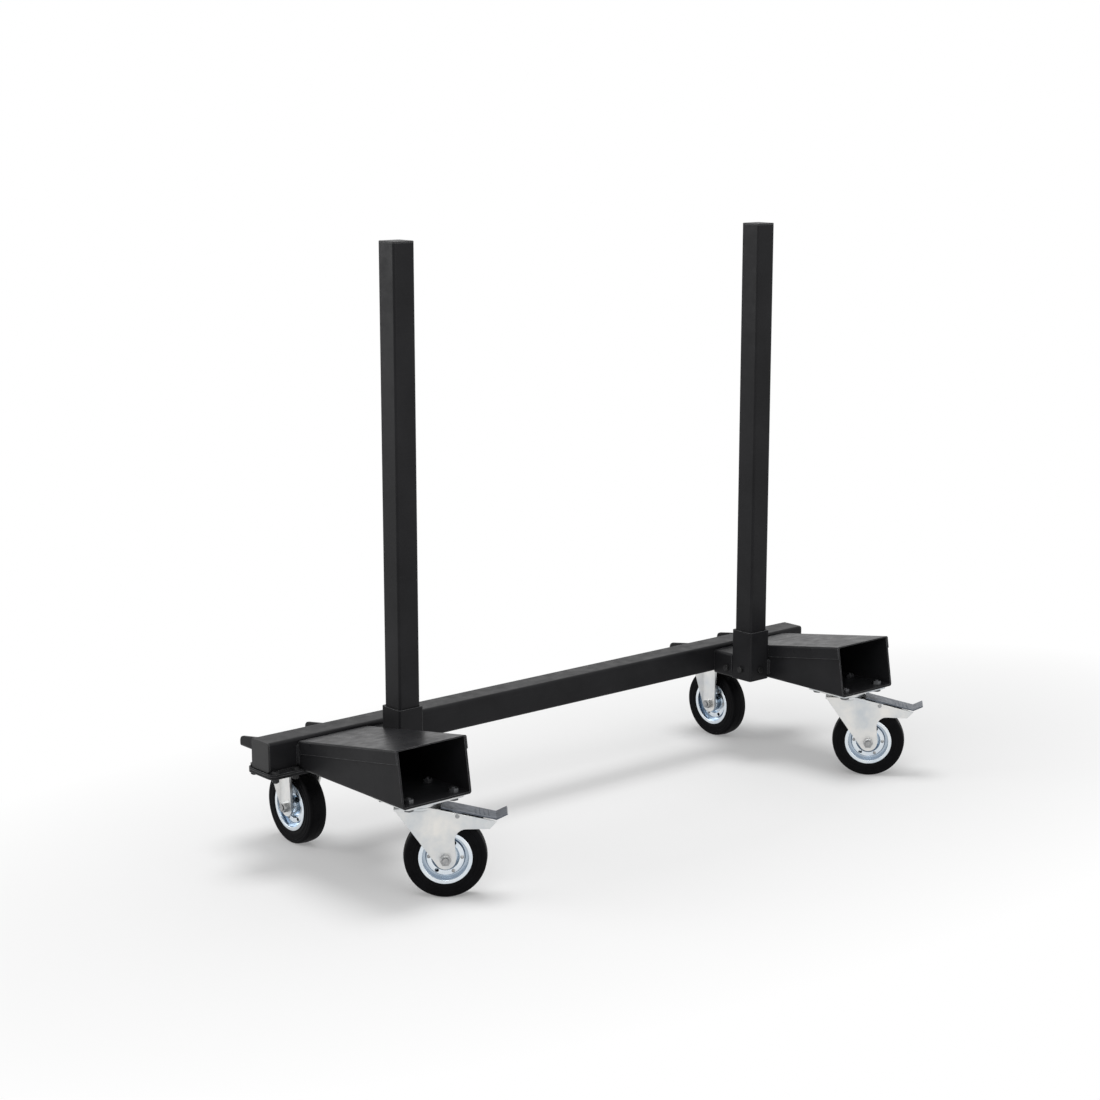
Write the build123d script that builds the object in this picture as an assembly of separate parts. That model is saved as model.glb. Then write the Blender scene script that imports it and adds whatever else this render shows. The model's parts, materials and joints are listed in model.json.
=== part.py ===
from build123d import *
from build123d.topology import SkipClean
import math
import os

# Panel trolley. Millimetres, X along the tie beam, Y from front to back, Z up from the floor.
# Each foot is drawn about its own middle with Y = 0 at its front lower edge, then placed.

# Feet: folded channels with a sloping deck
foot_pitch = 1200.0
foot_width = 162.0
foot_tail_past = 10.0
foot_height = 108.0
foot_sheet = 4.0
foot_bend = 6.0
foot_slope = 9.25
foot_tail_round = 12.0
cover_sheet = 2.5
cover_lip = 24.0
cover_bend = 4.0
cover_end_gap = 6.0

# Tie beam, its flanges and the tongues below them
beam_size = 60.0
beam_wall = 3.0
beam_round = 6.0
beam_front = 339.0
beam_overhang = 66.0
beam_notch_gap = 0.8
beam_cap = 3.0
beam_plug_depth = 12.0
cap_plug_gap = 0.2
cap_plug_wall = 2.0
cap_chamfer = 1.0
flange_past = 3.0
flange_side = 15.5
flange_round = 14.0
tongue_sheet = 6.0
tongue_overlap = 22.0
flange_bolt_edge = 13.0
flange_bolt_gap = 8.0

# Posts, sockets and links
post_size = 50.0
post_wall = 3.0
post_round = 5.0
post_length = 1014.0
post_cap = 3.0
post_plug_depth = 14.0
post_gap = 0.4
socket_wall = 4.0
socket_round = 4.5
socket_height = 112.0
socket_floor = 4.0
socket_lip_gap = 0.6
post_face_start = 1.0
link_length = 55.2
link_drop = 6.0
link_wall = 4.0
screw_height = 24.0
screw_tip_gap = 0.05
link_bolt_height = 20.0
link_bolt_back = 15.0

# Metric fasteners
m8_radius = 4.0
m8_head = 13.0
m8_head_height = 5.3
m8_nut_height = 6.5
m8_hole = 4.5
m10_radius = 5.0
m10_head = 17.0
m10_head_height = 6.4
m10_nut_height = 8.0
m10_hole = 5.5
thread_past_nut = 2.0
cut_past = 1.0

# Castors
castor_head = 40.0
castor_plate = 5.0
castor_plate_long = 140.0
castor_plate_short = 110.0
castor_plate_round = 8.0
castor_holes_long = 105.0
castor_holes_short = 80.0
front_castor_edge = 5.0
rear_castor_gap = 69.0
castor_trail = 50.0
left_castor_turn = -38.0
right_castor_turn = -49.0

# Swivel head
crown_sheet = 4.0
crown_drop = 18.0
crown_rim = 0.5
race_half_width = 5.5
lower_race_height = 4.0
upper_race_height = 6.0
skirt_gap = 0.5
skirt_sheet = 2.5
skirt_height = 11.0
ball_radius = 3.5
ball_pitch = 27.0
ball_count = 12
ball_seat = 5.5
ball_gap = 0.1
pin_radius = 8.0
pin_head_radius = 13.0
pin_head_height = 6.0
pin_head_round = 3.0
pin_head_gap = 0.1
running_gap = 0.05

# Fork and brake
leg_sheet = 3.5
leg_front = 46.0
leg_shoulder = 21.0
leg_flare = 6.0
arm_end_past = 97.0
arm_end_drop = 29.0
arm_under_past = 84.0
arm_under_drop = 43.0
leg_back_past = 16.0
leg_back_round = 22.0
boss_radius = 20.0
pedal_sheet = 3.0
pedal_side_gap = 1.0
pedal_rise = 2.0
pedal_start_before = 8.0
pedal_lip_run = 21.0
pedal_lip_rise = 10.0
pedal_pin_past_axle = 23.0
pedal_pin_drop = 17.0
pedal_pin_radius = 4.0
pedal_pin_past = 2.0
pedal_travel = 12.0
pedal_ear = 9.0
ear_sheet = 2.5
shoe_start_past = 45.0
shoe_end_past = 72.0
shoe_width = 30.0
shoe_gap = 0.7

# Fixed rear bracket
bracket_bolt_room = 20.0
bracket_flat = 40.0
bracket_flare = 20.0

# Wheels
wheel_radius = 80.0
tyre_half_width = 20.0
tyre_bead_step = 2.0
tyre_inner = 46.0
tyre_lip_gap = 2.0
tyre_side_rise = 6.0
tyre_side_drop = 8.0
tyre_shoulder = 14.0
tyre_crown = 1.5
tyre_round = 2.5
rim_sheet = 2.0
rim_lip_rise = 5.5
rim_lip_round = 0.9
rim_flat = 3.5
rim_step = 4.0
rim_disc_width = 9.0
rim_disc_out = 11.0
rim_well_slant = 2.0
rim_well_out = 6.0
rim_hole_radius = 4.0
rim_hole_count = 2
rim_hole_turn = 58.0
hub_wall = 3.4
hub_past = 2.5
hub_end_gap = 1.5
roller_radius = 3.0
roller_count = 9
roller_half = 16.0
axle_seat = 10.0
axle_end = 6.0
axle_nut = 19.0
axle_nut_height = 10.0
axle_nut_chamfer = 0.8

# Values that follow from the sizes above
castor_height = 2 * wheel_radius + castor_head
foot_bottom = castor_height
foot_floor = foot_bottom + foot_sheet
foot_half = foot_width / 2
slope_tan = math.tan(math.radians(foot_slope))
deck_front = foot_height * slope_tan
deck_top = foot_bottom + foot_height
beam_mid = beam_front + beam_size / 2
beam_level = foot_floor + beam_size / 2
beam_back = beam_front + beam_size
rear_castor_back = beam_back + rear_castor_gap
foot_length = rear_castor_back + castor_plate_long / 2 + foot_tail_past
front_castor_back = castor_plate_short / 2 + front_castor_edge
flange_length = beam_overhang + beam_cap + flange_past
flange_depth = beam_size + 2 * flange_side
flange_mid = foot_half + flange_length / 2
flange_bolt_spread_x = flange_length - 2 * flange_bolt_edge
flange_bolt_spread_y = beam_size + 2 * flange_bolt_gap
socket_size = post_size + 2 * (post_gap + socket_wall)
socket_back = beam_front - link_length
socket_front = socket_back - socket_size
socket_mid_x = foot_half + socket_size / 2
socket_mid_y = socket_front + socket_size / 2
link_height = beam_size - link_drop
socket_top = foot_bottom + socket_height
post_bottom = foot_bottom + socket_floor
plate_under = castor_height - castor_plate
crown_top = castor_height - crown_drop
ball_level = crown_top + ball_seat
race_inner = ball_pitch - race_half_width
race_outer = ball_pitch + race_half_width
crown_radius = race_outer + crown_rim
skirt_inner = crown_radius + skirt_gap
skirt_outer = skirt_inner + skirt_sheet
hub_half = tyre_half_width + hub_past
leg_inside = hub_half + hub_end_gap
leg_outside = leg_inside + leg_sheet
roller_pitch = axle_seat + running_gap + roller_radius
hub_inner = roller_pitch + roller_radius + running_gap
hub_outer = hub_inner + hub_wall
rim_flat_end = hub_outer + rim_flat
rim_disc_start = rim_flat_end + rim_step
rim_disc_end = rim_disc_start + rim_disc_width
rim_well_start = rim_disc_end + rim_well_slant
rim_hole_pitch = (rim_disc_start + rim_disc_end) / 2
rim_lip = tyre_inner + rim_lip_rise
tyre_bead_half = tyre_half_width - tyre_bead_step
arm_end_reach = castor_trail + arm_end_past
arm_end_level = crown_top - arm_end_drop
arm_under_reach = castor_trail + arm_under_past
arm_under_level = crown_top - arm_under_drop
leg_back_reach = castor_trail + leg_back_past
pedal_start = castor_trail - pedal_start_before
pedal_pin_reach = castor_trail + pedal_pin_past_axle
pedal_pin_level = crown_top - pedal_pin_drop
shoe_start = castor_trail + shoe_start_past
shoe_end = castor_trail + shoe_end_past
bracket_top = castor_holes_long - bracket_bolt_room
pedal_half = leg_inside - pedal_side_gap
arm_fall = (crown_top - arm_end_level) / (arm_end_reach - leg_shoulder)
beam_length = foot_pitch + foot_width + 2 * beam_overhang

os.makedirs("parts", exist_ok=True)
nodes = {}


def block(x0, x1, y0, y1, z0, z1):
    """Box between six faces."""
    middle = Pos((x0 + x1) / 2, (y0 + y1) / 2, (z0 + z1) / 2)
    return middle * Box(x1 - x0, y1 - y0, z1 - z0)


def rod(x, y, z0, z1, radius):
    """Upright round bar between two levels."""
    return Pos(x, y, (z0 + z1) / 2) * Cylinder(radius, z1 - z0)


def cross_rod(x, z, y0, y1, radius):
    """Round bar along Y."""
    return Pos(x, (y0 + y1) / 2, z) * Rot(X=90) * Cylinder(radius, y1 - y0)


def hexagon(across, z0, z1):
    """Upright hexagon prism on the Z axis."""
    flat = RegularPolygon(across / 2, 6, major_radius=False)
    return Pos(0, 0, z0) * extrude(flat, amount=z1 - z0)


def square_tube(size, wall, corner, length):
    """Upright square tube standing on Z = 0."""
    outer = RectangleRounded(size, size, corner)
    inner = RectangleRounded(size - 2 * wall, size - 2 * wall, corner - wall)
    return extrude(outer - inner, amount=length)


def insert_cap(size, wall, corner, lip, depth):
    """Push-in tube cap, its lip from Z = 0 up and its plug below."""
    bore = size - 2 * wall - 2 * cap_plug_gap
    top = extrude(RectangleRounded(size, size, corner), amount=lip)
    top = chamfer(top.faces().sort_by(Axis.Z)[-1].edges(), cap_chamfer)
    plug = extrude(RectangleRounded(bore, bore, corner - wall), amount=-depth)
    inside = bore - 2 * cap_plug_wall
    well = extrude(Rectangle(inside, inside), amount=-depth)
    return top + (plug - well)


def deck_level(y):
    """Height of the upper edge of the foot walls."""
    return deck_top - (y - deck_front) * slope_tan


def castor_corners(long_on_x):
    """Bolt places of a castor plate about its middle."""
    dx, dy = castor_holes_long / 2, castor_holes_short / 2
    if not long_on_x:
        dx, dy = dy, dx
    return [(sx * dx, sy * dy) for sx in (-1, 1) for sy in (-1, 1)]


def castor_bolt_places():
    """All castor bolt places of one foot."""
    front = [(x, y + front_castor_back) for x, y in castor_corners(True)]
    rear = [(x, y + rear_castor_back) for x, y in castor_corners(False)]
    return front + rear


def make_foot():
    """Folded channel with a sloping top edge, open in front and notched for the beam."""
    low = Pos(0, foot_height / 2) * Rectangle(foot_width, foot_height)
    low = fillet(low.vertices().group_by(Axis.Y)[0], foot_bend)
    inside = foot_width - 2 * foot_sheet
    hollow = Pos(0, foot_sheet + foot_height / 2) * Rectangle(inside, foot_height)
    hollow = fillet(hollow.vertices().group_by(Axis.Y)[0], foot_bend - foot_sheet)
    channel = extrude(Plane.XZ * (low - hollow), amount=-foot_length)
    tail = deck_level(foot_length)
    outline = make_face(Polyline(
        (0, foot_bottom), (deck_front, deck_top),
        (foot_length, tail), (foot_length, foot_bottom), close=True))
    corner = outline.vertices().sort_by(Axis.X)[-2:].sort_by(Axis.Y)[-1]
    outline = fillet(corner, foot_tail_round)
    side = Pos(-foot_half, 0, 0) * extrude(Plane.YZ * outline, amount=foot_width)
    foot = (Pos(0, 0, foot_bottom) * channel) & side
    foot -= block(-foot_width, foot_width, beam_front - beam_notch_gap,
                  beam_back + beam_notch_gap, foot_floor, deck_top)
    for x, y in castor_bolt_places():
        foot -= rod(x, y, foot_bottom - cut_past, foot_floor + cut_past, m10_hole)
    bolt_y, bolt_z = link_bolt_place()
    wall_hole = Rot(Y=90) * Cylinder(m8_hole, 3 * foot_sheet)
    return foot - Pos(foot_half, bolt_y, bolt_z) * wall_hole


def make_cover():
    """Folded deck sheet with lips outside the foot walls, cut back beside the socket."""
    outer_width = foot_width + 2 * cover_sheet
    full = cover_lip + cover_sheet
    outer = Pos(0, cover_sheet - full / 2) * Rectangle(outer_width, full)
    outer = fillet(outer.vertices().group_by(Axis.Y)[-1], cover_bend)
    inner = Pos(0, -cover_lip / 2) * Rectangle(foot_width, cover_lip)
    length = (beam_front - cover_end_gap - deck_front) / math.cos(math.radians(foot_slope))
    sheet = extrude(Plane.XZ * (outer - inner), amount=-length)
    sheet = Pos(0, deck_front, deck_top) * Rot(X=-foot_slope) * sheet
    return sheet - block(foot_half, foot_width, socket_front - socket_lip_gap,
                         foot_length, foot_bottom, 2 * deck_top)


def flange_bolt_places():
    """Bolt places beside the beam, outside the foot."""
    dx, dy = flange_bolt_spread_x / 2, flange_bolt_spread_y / 2
    return [(-flange_mid + sx * dx, beam_mid + sy * dy) for sx in (-1, 1) for sy in (-1, 1)]


def make_flange_plate(x1, z0, z1):
    """Plate under the beam end with its outer corners rounded and four holes."""
    x0 = -foot_half - flange_length
    plate = block(x0, x1, beam_mid - flange_depth / 2, beam_mid + flange_depth / 2, z0, z1)
    outer_edges = plate.edges().filter_by(Axis.Z).group_by(Axis.X)[0]
    plate = fillet(outer_edges, flange_round)
    for x, y in flange_bolt_places():
        plate -= rod(x, y, z0 - cut_past, z1 + cut_past, m8_hole)
    return plate


def upright_bolt(radius, head, head_height, nut_height, grip):
    """Bolt with its head under Z = 0 and its nut above the grip."""
    shank = rod(0, 0, 0, grip + nut_height + thread_past_nut, radius)
    bolt = shank + hexagon(head, -head_height, 0)
    nut = hexagon(head, grip, grip + nut_height) - rod(0, 0, 0, grip + nut_height, radius)
    return [bolt, nut]


def link_bolt_place():
    """Y and Z of the bolt through the link."""
    return socket_back + link_bolt_back, foot_bottom + link_bolt_height


def make_socket():
    """Square tube with a floor, drilled for two clamp screws."""
    tube = square_tube(socket_size, socket_wall, socket_round, socket_height)
    inner = socket_size - 2 * socket_wall
    base = extrude(RectangleRounded(inner, inner, socket_round - socket_wall), amount=socket_floor)
    socket = Pos(socket_mid_x, socket_mid_y, foot_bottom) * (tube + base)
    level = foot_bottom + screw_height
    front_hole = Pos(socket_mid_x, socket_front, level) * Rot(X=90) * Cylinder(m8_radius, 3 * socket_wall)
    side_x = foot_half + socket_size
    side_hole = Pos(side_x, socket_mid_y, level) * Rot(Y=90) * Cylinder(m8_radius, 3 * socket_wall)
    return socket - front_hole - side_hole


def make_link():
    """Short square tube along Y from the socket to the beam, drilled for its bolt."""
    outer = RectangleRounded(socket_size, link_height, beam_round)
    inner = RectangleRounded(socket_size - 2 * link_wall, link_height - 2 * link_wall,
                             beam_round - link_wall)
    length = beam_front - socket_back
    tube = extrude(Plane.XZ * (outer - inner), amount=-length)
    tube = Pos(socket_mid_x, socket_back, foot_bottom + link_height / 2) * tube
    bolt_y, bolt_z = link_bolt_place()
    return tube - Pos(socket_mid_x, bolt_y, bolt_z) * Rot(Y=90) * Cylinder(m8_hole, 2 * socket_size)


def make_clamp_screws():
    """One screw through the socket front and one through its free side."""
    reach = socket_wall + post_gap - screw_tip_gap
    screw = rod(0, 0, 0, reach, m8_radius) + hexagon(m8_head, -m8_head_height, 0)
    level = foot_bottom + screw_height
    front = Pos(socket_mid_x, socket_front, level) * Rot(X=-90) * screw
    side = Pos(foot_half + socket_size, socket_mid_y, level) * Rot(Y=-90) * screw
    return [front, side]


def make_link_bolt():
    """Bolt through the link into the foot wall, nut inside the foot."""
    bolt_y, bolt_z = link_bolt_place()
    pieces = upright_bolt(m8_radius, m8_head, m8_head_height, m8_nut_height,
                          socket_size + foot_sheet)
    place = Pos(foot_half + socket_size, bolt_y, bolt_z) * Rot(Y=-90)
    return [place * piece for piece in pieces]


def make_post():
    """Square steel post on the socket floor; its leaning faces begin just above the socket."""
    tail_length = socket_top + post_face_start - post_bottom
    tail = square_tube(post_size, post_wall, post_round, tail_length)
    rest = square_tube(post_size, post_wall, post_round, post_length - tail_length)
    with SkipClean():
        tube = tail + Pos(0, 0, tail_length) * rest
    return Pos(socket_mid_x, socket_mid_y, post_bottom) * tube


def make_post_cap():
    """Push-in cap on the post."""
    cap = insert_cap(post_size, post_wall, post_round, post_cap, post_plug_depth)
    return Pos(socket_mid_x, socket_mid_y, post_bottom + post_length) * cap


def tangent_point(cx, cz, radius, px, pz, turn):
    """Point where a line from a place outside touches a circle."""
    distance = math.hypot(px - cx, pz - cz)
    angle = math.atan2(pz - cz, px - cx) + turn * math.acos(radius / distance)
    return cx + radius * math.cos(angle), cz + radius * math.sin(angle)


def plate_with_holes(long_on_x):
    """Rounded castor plate under the foot with its four bolt holes."""
    width, depth = castor_plate_long, castor_plate_short
    if not long_on_x:
        width, depth = depth, width
    flat = RectangleRounded(width, depth, castor_plate_round)
    plate = Pos(0, 0, plate_under) * extrude(flat, amount=castor_plate)
    for x, y in castor_corners(long_on_x):
        plate -= rod(x, y, plate_under - cut_past, castor_height + cut_past, m10_hole)
    return plate


def ring(inner, outer, z0, z1):
    """Flat ring about the Z axis."""
    return rod(0, 0, z0, z1, outer) - rod(0, 0, z0 - cut_past, z1 + cut_past, inner)


def ball_groove():
    """Round groove that the balls run in."""
    return Pos(0, 0, ball_level) * Torus(ball_pitch, ball_radius + ball_gap)


def make_swivel_plate():
    """Top plate with the hole for the king pin."""
    return plate_with_holes(True) - rod(0, 0, 0, castor_height + cut_past, pin_radius)


def make_upper_race():
    """Pressed cup under the plate: upper ball race with a dust skirt."""
    race = ring(race_inner, skirt_outer, plate_under - upper_race_height, plate_under)
    race += ring(skirt_inner, skirt_outer, plate_under - skirt_height, plate_under)
    return race - ball_groove()


def make_king_pin():
    """Rivet that holds the fork under the plate."""
    crown_under = crown_top - crown_sheet - pin_head_gap
    pin = rod(0, 0, crown_under, castor_height, pin_radius)
    head = rod(0, 0, crown_under - pin_head_height, crown_under, pin_head_radius)
    head = fillet(head.edges().sort_by(Axis.Z)[0], pin_head_round)
    return pin + head


def make_balls():
    """Ring of balls between plate and fork."""
    step = 360 / ball_count
    return [Rot(Z=i * step) * Pos(ball_pitch, 0, ball_level) * Sphere(ball_radius)
            for i in range(ball_count)]


def both_legs(leg):
    """A leg and its twin on the other side of the wheel."""
    return leg + mirror(leg, about=Plane.XZ)


def axle_hole(reach):
    """Hole through both legs for the axle ends."""
    return cross_rod(reach, wheel_radius, -2 * leg_outside, 2 * leg_outside, axle_end)


def make_fork():
    """Pressed fork: crown with lower race, two legs flared in front and the brake's side plates."""
    touch = tangent_point(castor_trail, wheel_radius, boss_radius, -leg_front, crown_top, 1)
    outline = make_face(Polyline(
        (-leg_front, crown_top), (leg_shoulder, crown_top),
        (arm_end_reach, arm_end_level), (arm_under_reach, arm_under_level),
        (leg_back_reach, arm_under_level), (castor_trail + boss_radius, wheel_radius),
        (castor_trail, wheel_radius), touch, close=True))
    inner = outline.vertices().sort_by_distance((leg_back_reach, arm_under_level))[0]
    outline = fillet(inner, leg_back_round)
    outline += Pos(castor_trail, wheel_radius) * Circle(boss_radius)
    upright = extrude(Plane.XZ * outline, amount=leg_outside + leg_flare)
    far = arm_end_reach + cut_past
    bent = make_face(Polyline(
        (-leg_front, -leg_inside - leg_flare), (leg_shoulder, -leg_inside), (far, -leg_inside),
        (far, -leg_outside), (leg_shoulder, -leg_outside),
        (-leg_front, -leg_outside - leg_flare), close=True))
    leg = upright & extrude(bent, amount=castor_height)
    wide = leg_outside + leg_flare
    sheet = make_face(Polyline(
        (-leg_front, -wide), (leg_shoulder, -leg_outside), (leg_shoulder, leg_outside),
        (-leg_front, wide), close=True))
    sheet += Circle(crown_radius)
    crown = Pos(0, 0, crown_top) * extrude(sheet, amount=-crown_sheet)
    fork = crown + both_legs(leg)
    fork += ring(race_inner, race_outer, crown_top, crown_top + lower_race_height)
    fork -= ball_groove()
    fork -= rod(0, 0, 0, castor_height, pin_radius + running_gap)
    fork -= axle_hole(castor_trail)
    return fork - pedal_pin_hole(pedal_pin_radius)


def pedal_pin_hole(radius):
    """Hole across the fork for the pedal pin."""
    return cross_rod(pedal_pin_reach, pedal_pin_level, -2 * leg_outside, 2 * leg_outside, radius)


def blade_level(x):
    """Underside of the pedal blade."""
    return crown_top - (x - leg_shoulder) * arm_fall + pedal_rise


def make_pedal():
    """Bent foot pedal with two ears on the pin."""
    start = (pedal_start, blade_level(pedal_start))
    bend = (arm_end_reach, blade_level(arm_end_reach))
    tip = (arm_end_reach + pedal_lip_run, bend[1] + pedal_lip_rise)
    path = Polyline(start, bend, tip)
    strip = make_face(offset(path, amount=pedal_sheet, side=Side.LEFT, closed=True))
    blade = Pos(0, pedal_half, 0) * extrude(Plane.XZ * strip, amount=2 * pedal_half)
    centre = (pedal_pin_reach, pedal_pin_level)
    near = pedal_pin_reach - pedal_ear
    far = pedal_pin_reach + pedal_ear
    lug = make_face(Polyline(
        (near, pedal_pin_level), (far, pedal_pin_level),
        (far, blade_level(far) + pedal_sheet / 2), (near, blade_level(near) + pedal_sheet / 2),
        close=True))
    lug += Pos(*centre) * Circle(pedal_ear)
    ear = extrude(Plane.XZ.offset(pedal_half - ear_sheet) * lug, amount=ear_sheet)
    pedal = blade + both_legs(ear)
    return pedal - pedal_pin_hole(pedal_pin_radius + running_gap)


def make_shoe():
    """Brake block whose underside meets the tyre when the pedal is pressed."""
    turn = math.radians(pedal_travel)
    dx = castor_trail - pedal_pin_reach
    dz = wheel_radius - pedal_pin_level
    centre_x = pedal_pin_reach + dx * math.cos(turn) - dz * math.sin(turn)
    centre_z = pedal_pin_level + dx * math.sin(turn) + dz * math.cos(turn)
    outline = make_face(Polyline(
        (shoe_start, wheel_radius), (shoe_end, wheel_radius),
        (shoe_end, blade_level(shoe_end)), (shoe_start, blade_level(shoe_start)), close=True))
    outline -= Pos(centre_x, centre_z) * Circle(wheel_radius + shoe_gap)
    outline = outline.faces().sort_by(Axis.Y)[-1]
    return Pos(0, shoe_width / 2, 0) * extrude(Plane.XZ * outline, amount=shoe_width)


def make_pedal_pin():
    """Pin through both side plates."""
    reach = leg_outside + pedal_pin_past
    return cross_rod(pedal_pin_reach, pedal_pin_level, -reach, reach, pedal_pin_radius)


def make_bracket():
    """Fixed castor bracket: plate with two flared legs, long side along Y."""
    half = bracket_top / 2
    flat = bracket_flat / 2
    right = tangent_point(0, wheel_radius, boss_radius, half, plate_under, -1)
    left = (-right[0], right[1])
    outline = make_face(Polyline(
        (-half, plate_under), (half, plate_under), right, (0, wheel_radius), left, close=True))
    outline += Pos(0, wheel_radius) * Circle(boss_radius)
    upright = extrude(Plane.XZ * outline, amount=leg_outside + bracket_flare)
    inner = Polyline(
        (-half, -leg_inside - bracket_flare), (-flat, -leg_inside),
        (flat, -leg_inside), (half, -leg_inside - bracket_flare))
    bent = make_face(offset(inner, amount=leg_sheet, side=Side.RIGHT, kind=Kind.INTERSECTION, closed=True))
    leg = upright & extrude(bent, amount=castor_height)
    legs = both_legs(leg) - axle_hole(0)
    return plate_with_holes(False) + Rot(Z=90) * legs


def make_tyre():
    """Solid rubber tyre about the Y axis with rounded shoulders."""
    lip_side = rim_lip + tyre_lip_gap
    wall_start = lip_side + tyre_side_rise
    wall_end = wheel_radius - tyre_side_drop
    shoulder_radius = wheel_radius - tyre_crown
    profile = make_face(
        Polyline(
            (shoulder_radius, tyre_shoulder), (wall_end, tyre_half_width),
            (wall_start, tyre_half_width), (lip_side, tyre_bead_half), (tyre_inner, tyre_bead_half),
            (tyre_inner, -tyre_bead_half), (lip_side, -tyre_bead_half),
            (wall_start, -tyre_half_width), (wall_end, -tyre_half_width),
            (shoulder_radius, -tyre_shoulder))
        + ThreePointArc((shoulder_radius, -tyre_shoulder), (wheel_radius, 0),
                        (shoulder_radius, tyre_shoulder)))
    rounds = [v for v in profile.vertices() if v.X > (lip_side + wall_start) / 2]
    profile = fillet(rounds, tyre_round)
    return revolve(profile, axis=Axis.Y)


def make_rim_half():
    """One pressed half of the rim, from the mid plane outwards along Y."""
    wall_inner = tyre_inner - rim_sheet
    lip_out = tyre_bead_half + rim_sheet
    disc_under = rim_disc_out - rim_sheet
    well_under = rim_well_out - rim_sheet
    profile = make_face(Polyline(
        (hub_outer, 0), (rim_flat_end + rim_sheet, 0), (rim_disc_start + rim_sheet, disc_under),
        (rim_disc_end - rim_sheet, disc_under), (rim_well_start - rim_sheet, well_under),
        (tyre_inner, well_under), (tyre_inner, tyre_bead_half), (rim_lip, tyre_bead_half),
        (rim_lip, lip_out), (wall_inner, lip_out), (wall_inner, rim_well_out),
        (rim_well_start, rim_well_out), (rim_disc_end, rim_disc_out), (rim_disc_start, rim_disc_out),
        (rim_flat_end, rim_sheet), (hub_outer, rim_sheet), close=True))
    lip_edges = profile.vertices().group_by(Axis.Y)[-1]
    profile = fillet(lip_edges, rim_lip_round)
    half = revolve(profile, axis=Axis.Y)
    drill = Pos(rim_hole_pitch, rim_disc_out, 0) * Rot(X=90) * Cylinder(rim_hole_radius, 4 * rim_sheet)
    for i in range(rim_hole_count):
        half -= Rot(Y=i * 360 / rim_hole_count - rim_hole_turn) * drill
    return half


def make_hub():
    """Hub tube pressed into both rim halves."""
    bore = cross_rod(0, 0, -2 * hub_half, 2 * hub_half, hub_inner)
    return cross_rod(0, 0, -hub_half, hub_half, hub_outer) - bore


def make_rollers():
    """Bearing rollers between hub and axle."""
    step = 360 / roller_count
    roller = Pos(roller_pitch, 0, 0) * cross_rod(0, 0, -roller_half, roller_half, roller_radius)
    return [Rot(Y=i * step) * roller for i in range(roller_count)]


def make_axle():
    """Shouldered axle with a nut on each threaded end."""
    end = leg_outside + axle_nut_height + thread_past_nut
    axle = cross_rod(0, 0, -leg_inside, leg_inside, axle_seat)
    axle += cross_rod(0, 0, -end, end, axle_end)
    nut = hexagon(axle_nut, leg_outside, leg_outside + axle_nut_height)
    nut = chamfer(nut.faces().sort_by(Axis.Z)[-1].edges(), axle_nut_chamfer)
    nut -= rod(0, 0, 0, castor_height, axle_end)
    return [axle, Rot(X=-90) * nut, Rot(X=90) * nut]


def add(name, shape):
    """Keep a solid, or a list of separate solids, under its node name."""
    pieces = shape if isinstance(shape, list) else [shape]
    nodes.setdefault(name, []).extend(pieces)


def mirrored(shape):
    """The same piece or list of pieces for the other side."""
    if isinstance(shape, list):
        return [mirror(piece, about=Plane.YZ) for piece in shape]
    return mirror(shape, about=Plane.YZ)


def placed(place, shape):
    """Move a piece or a list of pieces."""
    if isinstance(shape, list):
        return [place * piece for piece in shape]
    return place * shape


# Pieces of one foot, drawn for the left side with the socket on +X
bolt_grip = castor_plate + foot_sheet
castor_bolt = upright_bolt(m10_radius, m10_head, m10_head_height, m10_nut_height, bolt_grip)
castor_bolts = []
for bolt_x, bolt_y in castor_bolt_places():
    castor_bolts += placed(Pos(bolt_x, bolt_y, plate_under), castor_bolt)
flange_bolt = upright_bolt(m8_radius, m8_head, m8_head_height, m8_nut_height,
                           foot_sheet + tongue_sheet)
flange_bolts = []
for bolt_x, bolt_y in flange_bolt_places():
    flange_bolts += placed(Pos(bolt_x, bolt_y, foot_floor) * Rot(X=180), flange_bolt)

side_pieces = {
    "foot": make_foot(),
    "foot_cover": make_cover(),
    "beam_flange": make_flange_plate(-foot_half, foot_bottom, foot_floor),
    "foot_tongue": make_flange_plate(-foot_half + tongue_overlap, foot_bottom - tongue_sheet, foot_bottom),
    "post_socket": make_socket(),
    "socket_link": make_link(),
    "post": make_post(),
    "post_cap": make_post_cap(),
}
shared_pieces = {
    "castor_bolts": castor_bolts,
    "flange_bolts": flange_bolts,
    "clamp_screws": make_clamp_screws(),
    "link_bolts": make_link_bolt(),
}
wheel_pieces = {
    "tyre": make_tyre(),
    "rim": [make_rim_half(), mirror(make_rim_half(), about=Plane.XZ)],
    "hub": make_hub(),
    "rollers": make_rollers(),
    "axle": make_axle(),
}
swivel_pieces = {
    "fork": make_fork(),
    "balls": make_balls(),
    "pedal": make_pedal(),
    "brake_shoe": make_shoe(),
    "pedal_pin": make_pedal_pin(),
}
front_plate = make_swivel_plate()
upper_race = make_upper_race()
king_pin = make_king_pin()
bracket = make_bracket()

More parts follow.
